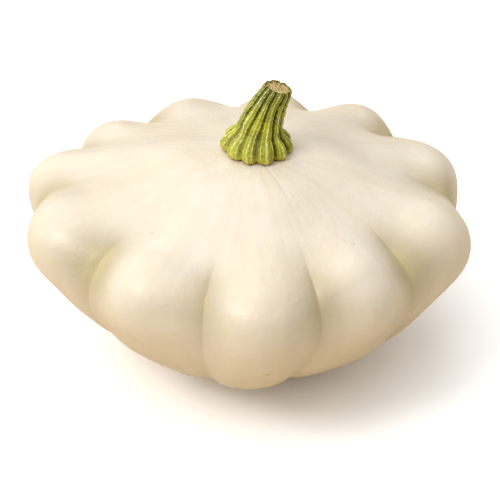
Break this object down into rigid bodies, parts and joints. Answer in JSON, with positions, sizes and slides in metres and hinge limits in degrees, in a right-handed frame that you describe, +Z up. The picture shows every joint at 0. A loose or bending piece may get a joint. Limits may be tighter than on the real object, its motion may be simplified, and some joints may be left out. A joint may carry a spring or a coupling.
{
  "type": "pattypan squash",
  "caption": "Flat, scalloped white summer squash with rounded lobes round its rim, resting on its blossom end, with a ribbed green stem cut off at a slant.",
  "frame": {"origin": "centre of the flat at the blossom end, on which the squash rests", "axes": "+Z up towards the stem, -Y towards the front, +X towards the side that the stem leans to"},
  "size_m": [0.1504, 0.1526, 0.0959],
  "materials": {
    "skin": "satin",
    "stem": "satin"
  },
  "bodies": {
    "root": {"fruit": "skin", "stem": "stem"}
  },
  "joints": []
}
